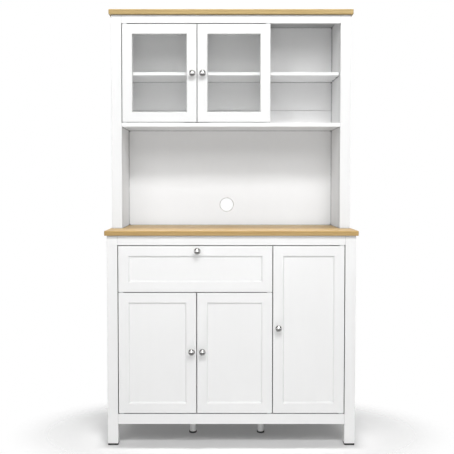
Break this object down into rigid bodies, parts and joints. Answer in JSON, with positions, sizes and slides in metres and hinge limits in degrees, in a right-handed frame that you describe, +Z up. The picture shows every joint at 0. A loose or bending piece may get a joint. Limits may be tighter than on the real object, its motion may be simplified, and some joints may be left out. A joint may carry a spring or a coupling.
{
  "type": "kitchen cupboard with hutch",
  "caption": "White kitchen cupboard with hutch: base with drawer, paired doors and a tall door, wooden worktop, open niche, glazed upper doors beside an open bay, wooden top board.",
  "frame": {"origin": "on the floor, under the middle of the whole cupboard's box, knobs included", "axes": "+Z up, the doors face -Y, +X to the right as seen from the front"},
  "size_m": [1.03, 0.416, 1.8045],
  "materials": {
    "white_paint": "satin white paint over board",
    "golden_wood": "golden oak grain, satin",
    "dowel_wood": "bare beech",
    "clear_glass": "clear float glass",
    "nickel": "satin nickel plating",
    "zinc_steel": "zinc-plated steel",
    "black_plastic": "matt black",
    "white_metal": "white powder coat",
    "white_plastic": "moulded white plastic"
  },
  "bodies": {
    "cabinet": {"base_posts": "white_paint", "base_side_panels": "white_paint", "base_top_rail": "white_paint", "base_bottom_rail": "white_paint", "base_bottom_panel": "white_paint", "base_divider": "white_paint", "drawer_deck": "white_paint", "base_left_shelf": "white_paint", "base_right_shelves": "white_paint", "base_back_panel": "white_paint", "hutch_posts": "white_paint", "hutch_side_panels": "white_paint", "hutch_top_rail": "white_paint", "hutch_bottom_shelf": "white_paint", "hutch_dividers": "white_paint", "hutch_shelves": "white_paint", "hutch_ceiling_panel": "white_paint", "hutch_back_panel": "white_paint", "niche_back_panel": "white_paint", "worktop": "golden_wood", "top_board": "golden_wood", "hutch_dowels": "dowel_wood", "shelf_pins": "zinc_steel", "cam_locks": "zinc_steel", "cam_bolts": "zinc_steel", "door_pivot_plates": "zinc_steel", "door_pivot_pins": "zinc_steel", "drawer_runners": "zinc_steel", "foot_pads": "black_plastic", "support_leg_glides": "black_plastic", "support_legs": "white_metal", "magnetic_catches": "white_plastic", "back_joint_strip": "white_plastic"},
    "drawer": {"drawer_front": "white_paint", "drawer_sides": "white_paint", "drawer_back": "white_paint", "drawer_bottom": "white_paint", "drawer_slides": "zinc_steel", "drawer_knob": "nickel", "drawer_knob_screw": "zinc_steel"},
    "left_door": {"left_door": "white_paint", "left_door_knob": "nickel", "left_door_knob_screw": "zinc_steel"},
    "middle_door": {"middle_door": "white_paint", "middle_door_knob": "nickel", "middle_door_knob_screw": "zinc_steel"},
    "tall_door": {"tall_door": "white_paint", "tall_door_knob": "nickel", "tall_door_knob_screw": "zinc_steel"},
    "left_glass_door": {"left_glass_door_frame": "white_paint", "left_glass_door_pane": "clear_glass", "left_glass_door_beads": "white_paint", "left_glass_door_knob": "nickel", "left_glass_door_knob_screw": "zinc_steel"},
    "right_glass_door": {"right_glass_door_frame": "white_paint", "right_glass_door_pane": "clear_glass", "right_glass_door_beads": "white_paint", "right_glass_door_knob": "nickel", "right_glass_door_knob_screw": "zinc_steel"}
  },
  "joints": [
    {"name": "drawer_slide", "type": "slide", "parent": "cabinet", "child": "drawer", "axis": [0, -1, 0], "range_m": [0, 0.26]},
    {"name": "left_door_hinge", "type": "hinge", "parent": "cabinet", "child": "left_door", "pos_m": [-0.451, -0.174, 0.3805], "axis": [0, 0, -1], "range_deg": [0, 95]},
    {"name": "middle_door_hinge", "type": "hinge", "parent": "cabinet", "child": "middle_door", "pos_m": [0.1576, -0.174, 0.3805], "axis": [0, 0, 1], "range_deg": [0, 95]},
    {"name": "tall_door_hinge", "type": "hinge", "parent": "cabinet", "child": "tall_door", "pos_m": [0.451, -0.174, 0.476], "axis": [0, 0, 1], "range_deg": [0, 95]},
    {"name": "left_glass_door_hinge", "type": "hinge", "parent": "cabinet", "child": "left_glass_door", "pos_m": [-0.451, -0.031, 1.53875], "axis": [0, 0, -1], "range_deg": [0, 95]},
    {"name": "right_glass_door_hinge", "type": "hinge", "parent": "cabinet", "child": "right_glass_door", "pos_m": [0.1577, -0.031, 1.53875], "axis": [0, 0, 1], "range_deg": [0, 95]}
  ]
}
